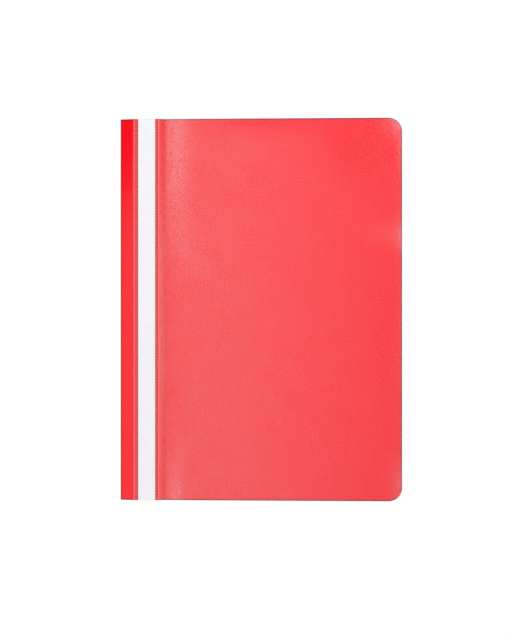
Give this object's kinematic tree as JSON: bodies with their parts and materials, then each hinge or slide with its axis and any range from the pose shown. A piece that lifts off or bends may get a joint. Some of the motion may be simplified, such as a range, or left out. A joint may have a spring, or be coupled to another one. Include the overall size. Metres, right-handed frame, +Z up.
{
  "type": "fastener folder",
  "caption": "A4 report folder: coloured back sheet folded into a front flap, clear hinged front cover, paper label between ribbed weld seams, prong fastener with compressor bar inside.",
  "frame": {"origin": "under the middle of the closed folder, on the surface that it lies on", "axes": "+X from the spine to the free edge, +Y along the spine to the folder's top, +Z up through the covers"},
  "size_m": [0.229, 0.31, 0.0044],
  "materials": {
    "coloured_film": "red film, smooth and slightly glossy",
    "clear_film": "clear film with a fine matt grain",
    "label_paper": "plain white label paper",
    "tinned_steel": "thin tinned steel strip",
    "moulded_plastic": "off-white moulded plastic, satin"
  },
  "bodies": {
    "back": {"back_cover": "coloured_film", "spine_fold": "coloured_film", "fastener_strip": "coloured_film", "prong_base": "tinned_steel"},
    "flap": {"spine_panel": "coloured_film", "front_flap": "coloured_film", "label_pocket": "clear_film"},
    "cover": {"front_cover": "clear_film"},
    "label": {"label_strip": "label_paper"},
    "bar": {"compressor_bar": "moulded_plastic"},
    "upper_prong": {"prong_upper": "tinned_steel"},
    "lower_prong": {"prong_lower": "tinned_steel"}
  },
  "joints": [
    {"name": "spine_hinge", "type": "hinge", "parent": "back", "child": "flap", "pos_m": [-0.1139, 0, 0.00111], "axis": [0, -1, 0], "range_deg": [0, 168], "deforming": ["spine_fold"]},
    {"name": "cover_hinge", "type": "hinge", "parent": "flap", "child": "cover", "pos_m": [-0.0823, 0, 0.00438], "axis": [0, -1, 0], "range_deg": [0, 180]},
    {"name": "label_slide", "type": "slide", "parent": "flap", "child": "label", "axis": [0, 1, 0], "range_m": [-0.31, 0.31]},
    {"name": "bar_lift", "type": "slide", "parent": "back", "child": "bar", "axis": [0, 0, 1], "range_m": [0, 0.0009]},
    {"name": "upper_prong_fold", "type": "hinge", "parent": "back", "child": "upper_prong", "pos_m": [-0.0885, 0.03955, 0.00236], "axis": [-1, 0, 0], "range_deg": [0, 95]},
    {"name": "lower_prong_fold", "type": "hinge", "parent": "back", "child": "lower_prong", "pos_m": [-0.0885, -0.03955, 0.00236], "axis": [1, 0, 0], "range_deg": [0, 95]}
  ],
  "couplings": [
    {"joint": "upper_prong_fold", "follows": "spine_hinge", "ratio": 0.5357},
    {"joint": "lower_prong_fold", "follows": "spine_hinge", "ratio": 0.5357}
  ]
}
